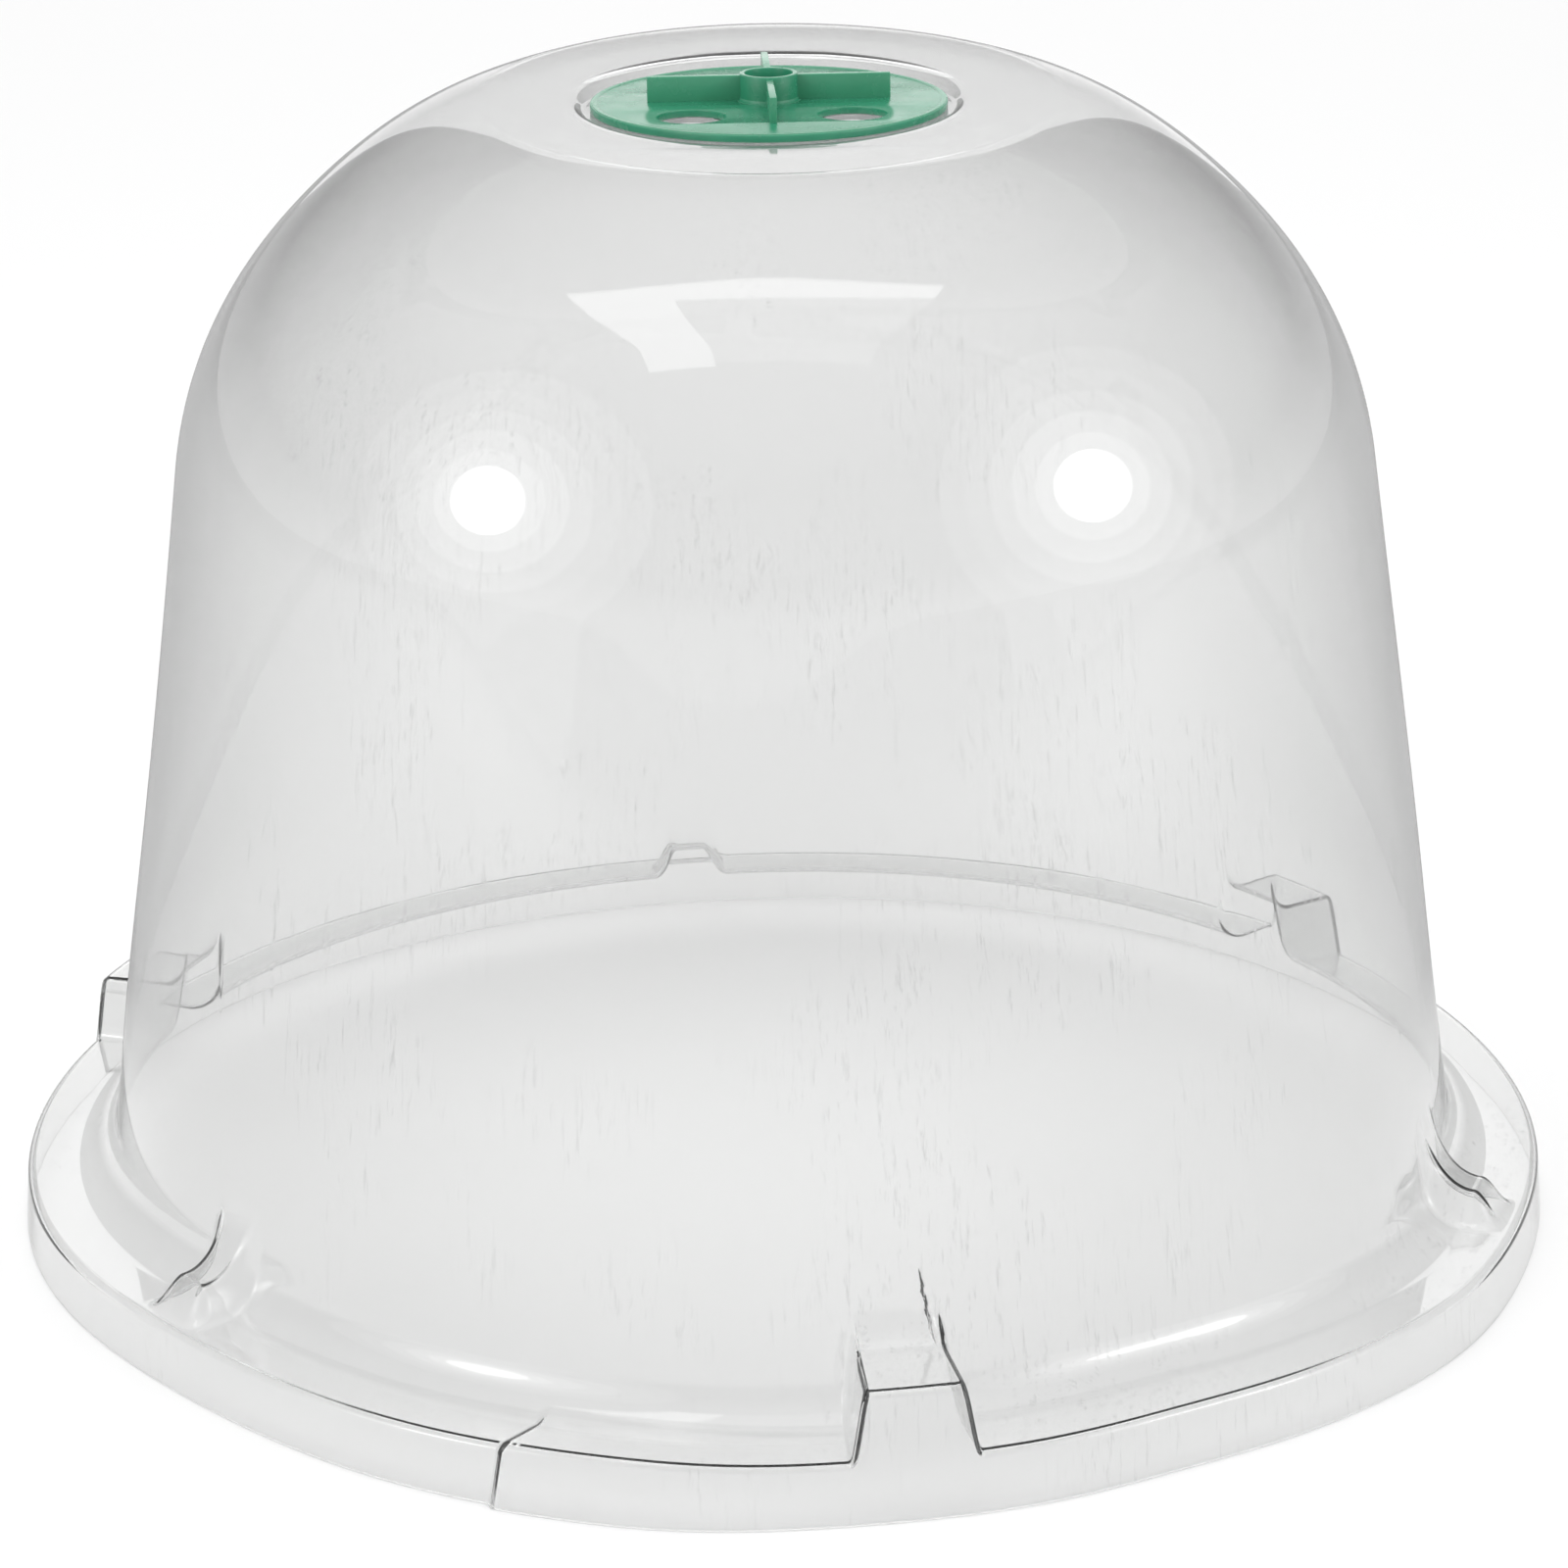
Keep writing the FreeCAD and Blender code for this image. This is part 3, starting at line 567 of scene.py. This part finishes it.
def bell_mesh():
    grid = bell_surface() * MM
    count = grid.shape[1]
    work = bmesh.new()
    verts = [[work.verts.new(point) for point in row] for row in grid]
    for low, high in zip(verts, verts[1:]):
        for index in range(count):
            following = (index + 1) % count
            work.faces.new((low[index], low[following], high[following], high[index]))
    work.edges.ensure_lookup_table()
    seat = SEAT_FLOOR_HEIGHT * MM
    loops = [edge for edge in work.edges if edge.is_boundary
             and min(vert.co.z for vert in edge.verts) > seat / 2]
    holes = [(0.0, 0.0, HUB_HOLE_RADIUS)]
    holes += [(x, y, VENT_HOLE_RADIUS) for x, y in vent_hole_centres(VENT_TURN)]
    sides = 48
    for x, y, radius in holes:
        ring = [work.verts.new(((x + radius * math.cos(turn)) * MM, (y + radius * math.sin(turn)) * MM, seat))
                for turn in np.linspace(0.0, 2 * math.pi, sides + 1)[:-1]]
        loops += [work.edges.new((ring[index], ring[(index + 1) % sides])) for index in range(sides)]
    bmesh.ops.triangle_fill(work, edges=loops, use_beauty=True, normal=(0, 0, 1))
    bmesh.ops.recalc_face_normals(work, faces=work.faces)
    mesh = bpy.data.meshes.new("bell_sheet")
    work.to_mesh(mesh)
    work.free()
    if sum(poly.normal.z * poly.area for poly in mesh.polygons) < 0:
        mesh.flip_normals()
    return mesh


def make_bell():
    piece = mesh_piece("bell_sheet", bell_mesh(), clear_sheet_material(), "dome", "dome_shell")
    piece.data.materials.append(trimmed_edge_material())
    thicken = piece.modifiers.new("sheet", "SOLIDIFY")
    thicken.thickness = SHEET * MM
    thicken.offset = -1.0
    thicken.material_offset_rim = 1
    applied = bpy.data.meshes.new_from_object(piece.evaluated_get(bpy.context.evaluated_depsgraph_get()))
    piece.modifiers.clear()
    piece.data = applied
    applied.shade_smooth()
    applied.set_sharp_from_angle(angle=math.radians(55.0))
    return piece


# ---------------------------------------------------------------- the vent

def plate_mesh(name, outer, holes, thickness, edge):
    """A flat round plate with round holes and rounded edges, its middle plane at z = 0."""
    outline = bpy.data.curves.new(name, "CURVE")
    outline.dimensions = "2D"
    outline.fill_mode = "BOTH"
    outline.extrude = (thickness / 2 - edge) * MM
    outline.bevel_depth = edge * MM
    outline.bevel_resolution = 2
    for x, y, radius, turns in [(0.0, 0.0, outer - edge, 128)] + holes:
        spline = outline.splines.new("POLY")
        spline.points.add(turns - 1)
        spline.use_cyclic_u = True
        for point, turn in zip(spline.points, np.linspace(0.0, 2 * math.pi, turns + 1)[:-1]):
            point.co = ((x + radius * math.cos(turn)) * MM, (y + radius * math.sin(turn)) * MM, 0.0, 1.0)
    holder = bpy.data.objects.new(name, outline)
    bpy.context.collection.objects.link(holder)
    depsgraph = bpy.context.evaluated_depsgraph_get()
    mesh = bpy.data.meshes.new_from_object(holder.evaluated_get(depsgraph))
    bpy.data.objects.remove(holder)
    return mesh


def add_ring(work, section, turns=72):
    """Turn a closed section (radius, height) about the Z axis."""
    rings = []
    for turn in np.linspace(0.0, 2 * math.pi, turns + 1)[:-1]:
        east, north = math.cos(turn), math.sin(turn)
        rings.append([work.verts.new((radius * east * MM, radius * north * MM, height * MM))
                      for radius, height in section])
    for index, ring in enumerate(rings):
        following = rings[(index + 1) % turns]
        for step in range(len(section)):
            ahead = (step + 1) % len(section)
            work.faces.new((ring[step], following[step], following[ahead], ring[ahead]))


def rounded_rectangle(low, high, radius, steps=4):
    """Corners of a rectangle in (radius, height), rounded."""
    points = []
    corners = (((high[0] - radius, low[1] + radius), -0.5), ((high[0] - radius, high[1] - radius), 0.0),
               ((low[0] + radius, high[1] - radius), 0.5), ((low[0] + radius, low[1] + radius), 1.0))
    for centre, start in corners:
        points += [tuple(point) for point in
                   arc(centre, radius, start * math.pi, (start + 0.5) * math.pi, steps)]
    return points


def add_box(work, low, high, turn, edge):
    made = bmesh.ops.create_cube(work, size=1.0)["verts"]
    middle = (Vector(low) + Vector(high)) / 2
    span = Vector(high) - Vector(low)
    place = (Matrix.Rotation(turn, 4, "Z") @ Matrix.Translation(middle * MM)
             @ Matrix.Diagonal((*(span * MM), 1.0)))
    bmesh.ops.transform(work, matrix=place, verts=made)
    edges = {edge_ for vert in made for edge_ in vert.link_edges}
    bmesh.ops.bevel(work, geom=list(edges), offset=edge * MM, segments=3, profile=0.5, affect="EDGES")


def make_vent_disc(green):
    sides = 64
    holes = [(0.0, 0.0, HUB_BORE + 0.1, sides)]
    holes += [(x, y, VENT_HOLE_RADIUS + DISC_EDGE, sides) for x, y in vent_hole_centres()]
    plate = plate_mesh("vent_plate", DISC_RADIUS, holes, DISC_THICKNESS, DISC_EDGE)
    plate.transform(Matrix.Translation((0, 0, (DISC_TOP - DISC_THICKNESS / 2) * MM)))
    work = bmesh.new()
    work.from_mesh(plate)
    bmesh.ops.remove_doubles(work, verts=work.verts, dist=1e-7)
    bpy.data.meshes.remove(plate)
    add_ring(work, rounded_rectangle((HUB_BORE, disc_low[2]), (HUB_RADIUS, HUB_TOP), 0.2))
    # A fillet's foot round the hub.
    add_ring(work, [(HUB_RADIUS - 0.1, DISC_TOP - 0.2), (HUB_RADIUS + 0.6, DISC_TOP - 0.05),
                    (HUB_RADIUS + 0.22, DISC_TOP + 0.12), (HUB_RADIUS + 0.05, DISC_TOP + 0.5),
                    (HUB_RADIUS - 0.1, DISC_TOP + 0.5)])
    # The raised lip round the disc's edge.
    add_ring(work, [(DISC_RADIUS - 1.25, DISC_TOP - 0.1), (DISC_RADIUS - 0.25, DISC_TOP - 0.1),
                    (DISC_RADIUS - 0.3, DISC_TOP + 0.10), (DISC_RADIUS - 0.55, DISC_TOP + 0.16),
                    (DISC_RADIUS - 0.95, DISC_TOP + 0.14)], 144)
    for quarter in range(4):
        add_box(work, (HUB_RADIUS - 0.3, -RIB_THICKNESS / 2, DISC_TOP - 0.4),
                (RIB_REACH, RIB_THICKNESS / 2, RIB_TOP), quarter * math.pi / 2, RIB_EDGE)
    bmesh.ops.transform(work, matrix=Matrix.Rotation(VENT_TURN, 4, "Z"), verts=work.verts)
    bmesh.ops.recalc_face_normals(work, faces=work.faces)
    mesh = bpy.data.meshes.new("vent_disc_moulding")
    work.to_mesh(mesh)
    work.free()
    mesh.shade_smooth()
    mesh.set_sharp_from_angle(angle=math.radians(40.0))
    return mesh_piece("vent_disc_moulding", mesh, green, "vent", "vent_disc")


# ---------------------------------------------------------------- stage, lamps and camera

def make_floor():
    """A large plain pale floor."""
    mesh = bpy.data.meshes.new("floor")
    half = FLOOR_HALF
    corners = [(-half, -half, 0), (half, -half, 0), (half, half, 0), (-half, half, 0)]
    mesh.from_pydata(corners, [], [(0, 1, 2, 3)])
    floor = bpy.data.objects.new("floor", mesh)
    bpy.context.collection.objects.link(floor)
    material, *_, shader = new_material("pale_floor")
    shader.inputs["Base Color"].default_value = (*FLOOR_TONE, 1.0)
    shader.inputs["Roughness"].default_value = 0.9
    shader.inputs["Specular IOR Level"].default_value = 0.1
    mesh.materials.append(material)


def make_lamp(name, place, target, size, radiance):
    """An area lamp of the given radiance: round for one size, a rectangle for two."""
    lamp = bpy.data.lights.new(name, "AREA")
    if len(size) == 1:
        lamp.shape, lamp.size = "DISK", size[0]
        area = math.pi * size[0] ** 2 / 4
    else:
        lamp.shape = "RECTANGLE"
        lamp.size, lamp.size_y = size
        area = size[0] * size[1]
    lamp.energy = radiance * area * math.pi
    holder = bpy.data.objects.new(name, lamp)
    bpy.context.collection.objects.link(holder)
    aim = (Vector(target) - Vector(place)).to_track_quat("-Z", "Y").to_matrix().to_4x4()
    holder.matrix_world = Matrix.Translation(place) @ aim


def make_room():
    """A soft studio tent: bright where it meets the floor, dimmer at the sides, brightest overhead."""
    world = bpy.data.worlds.new("studio")
    bpy.context.scene.world = world
    world.use_nodes = True
    nodes, links = world.node_tree.nodes, world.node_tree.links
    place = nodes.new("ShaderNodeSeparateXYZ")
    links.new(nodes.new("ShaderNodeTexCoord").outputs["Generated"], place.inputs["Vector"])
    tone = nodes.new("ShaderNodeValToRGB")
    ramp_stops = tone.color_ramp.elements
    while len(ramp_stops) < len(ROOM_TONES):
        ramp_stops.new(0.5)
    for stop, (height, radiance) in zip(ramp_stops, ROOM_TONES):
        stop.position = height
        stop.color = (radiance, radiance, radiance, 1.0)
    links.new(place.outputs["Z"], tone.inputs["Fac"])
    links.new(tone.outputs["Color"], nodes["Background"].inputs["Color"])
    nodes["Background"].inputs["Strength"].default_value = ROOM_STRENGTH


def make_lamps():
    for side, place in SOFTBOX_PLACES:
        for number, (size, radiance) in enumerate(SOFTBOX_LAYERS):
            make_lamp(f"softbox_{side}_{number}", place, SOFTBOX_TARGET, (size,), radiance)
    # A wide soft light behind the bell.
    make_lamp("backdrop", (0, 2.4, 1.2), (0, 0, 1.2), (1.5, 2.2), BACKDROP_GLOW)
    # An overhead frame of light, whose corner shows on the shoulder.
    for name, x, y, size, above, glow in (("frame_bar", -0.05, 0.43, (0.98, 0.16), 0, FRAME_GLOW),
                                          ("frame_leg", -0.39, -0.23, (0.30, 1.16), 0, FRAME_GLOW),
                                          ("frame_pane", 0.10, -0.22, (0.68, 1.14), 0.02, PANE_GLOW)):
        make_lamp(name, (x, y, FRAME_HEIGHT + above), (x, y, 0), size, glow)


def make_camera():
    camera = bpy.data.cameras.new("camera")
    camera.lens = CAMERA_LENS
    camera.sensor_width = 36.0
    camera.clip_start = 0.01
    holder = bpy.data.objects.new("camera", camera)
    bpy.context.collection.objects.link(holder)
    pitch, yaw, roll = CAMERA_PITCH, CAMERA_YAW, CAMERA_ROLL
    forward = Vector((math.sin(yaw) * math.cos(pitch), math.cos(yaw) * math.cos(pitch), -math.sin(pitch)))
    right = forward.cross(Vector((0, 0, 1))).normalized()
    up = right.cross(forward)
    across = math.cos(roll) * right + math.sin(roll) * up
    upward = math.cos(roll) * up - math.sin(roll) * right
    turn = Matrix((across, upward, -forward)).transposed().to_4x4()
    holder.matrix_world = Matrix.Translation(CAMERA_PLACE) @ turn
    bpy.context.scene.camera = holder


# ---------------------------------------------------------------- build

scene = bpy.context.scene
scene.view_settings.view_transform = "Standard"
scene.cycles.transparent_max_bounces = 32
scene.cycles.transmission_bounces = 24
scene.cycles.max_bounces = 28

make_camera()
make_floor()
make_room()
make_lamps()
green = green_moulding_material()
make_bell()
make_vent_disc(green)
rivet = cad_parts["vent_rivet"]
rivet.data.materials.clear()
rivet.data.materials.append(green)
